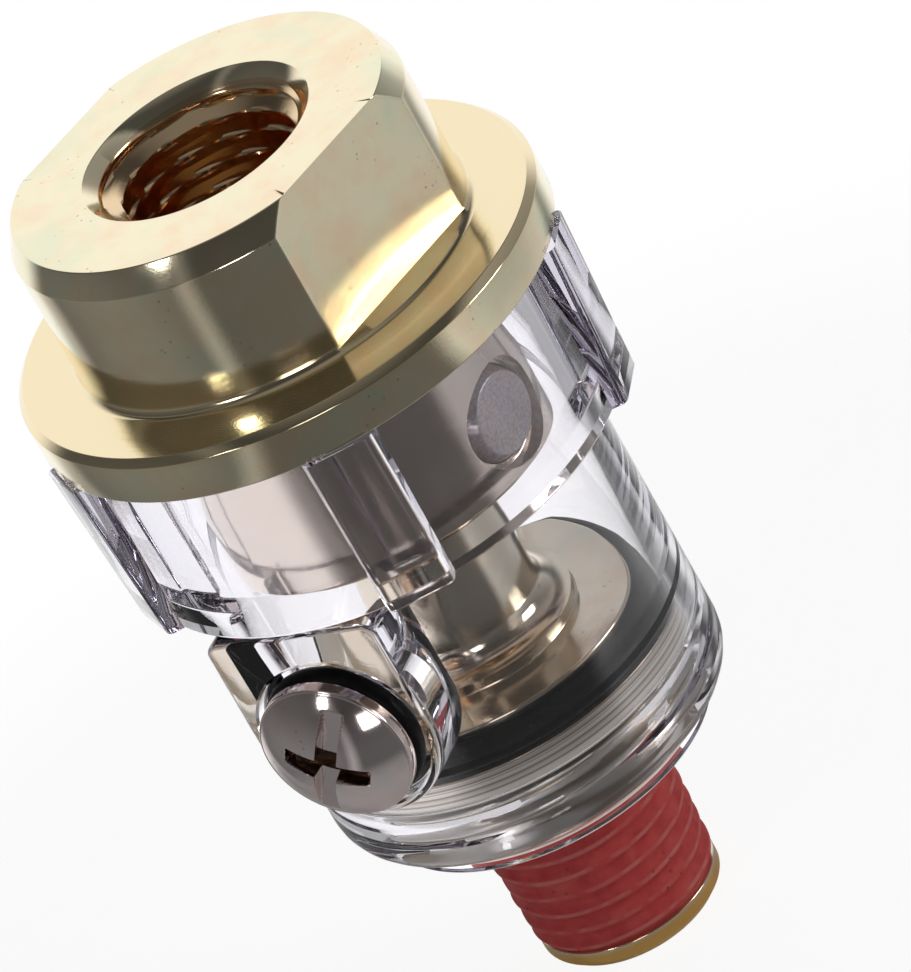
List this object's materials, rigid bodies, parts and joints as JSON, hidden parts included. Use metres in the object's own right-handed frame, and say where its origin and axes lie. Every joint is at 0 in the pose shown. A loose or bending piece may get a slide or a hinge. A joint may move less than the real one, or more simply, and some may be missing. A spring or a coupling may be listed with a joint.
{
  "type": "air line lubricator",
  "caption": "In-line air lubricator: plated head with a threaded inlet and wrench flats, clear ribbed oil bowl with a filler screw, and a stem with a threaded outlet.",
  "frame": {"origin": "on the air line's axis, where the outlet thread meets the underside of the bowl", "axes": "+Z along the air line from the outlet to the inlet, -Y towards the filler boss and its screw"},
  "size_m": [0.0346, 0.0368, 0.0615],
  "materials": {
    "plated_head": "zinc plate with a pale gold tint, satin",
    "clear_bowl": "clear moulded plastic",
    "plated_stem": "turned and plated, pale gold",
    "porous_plug": "porous sintered metal",
    "seal_rubber": "smooth black rubber",
    "bright_screw": "bright nickel plate",
    "red_sealant": "dried thread sealant"
  },
  "bodies": {
    "lubricator": {"inlet_head": "plated_head", "bowl": "clear_bowl", "outlet_stem": "plated_stem", "metering_plug": "porous_plug", "head_o_ring": "seal_rubber", "base_o_ring": "seal_rubber", "thread_sealant": "red_sealant"},
    "screw_seal": {"fill_screw_o_ring": "seal_rubber"},
    "screw": {"fill_screw": "bright_screw"}
  },
  "joints": [
    {"name": "screw_lift", "type": "slide", "parent": "lubricator", "child": "screw_seal", "axis": [0, -1, 0], "range_m": [0, 0.0025]},
    {"name": "screw_turn", "type": "hinge", "parent": "screw_seal", "child": "screw", "pos_m": [0, -0.016, 0.0153], "axis": [0, -1, 0], "range_deg": [0, 900]}
  ],
  "couplings": [
    {"joint": "screw_turn", "follows": "screw_lift", "rad_per_m": 6283}
  ]
}
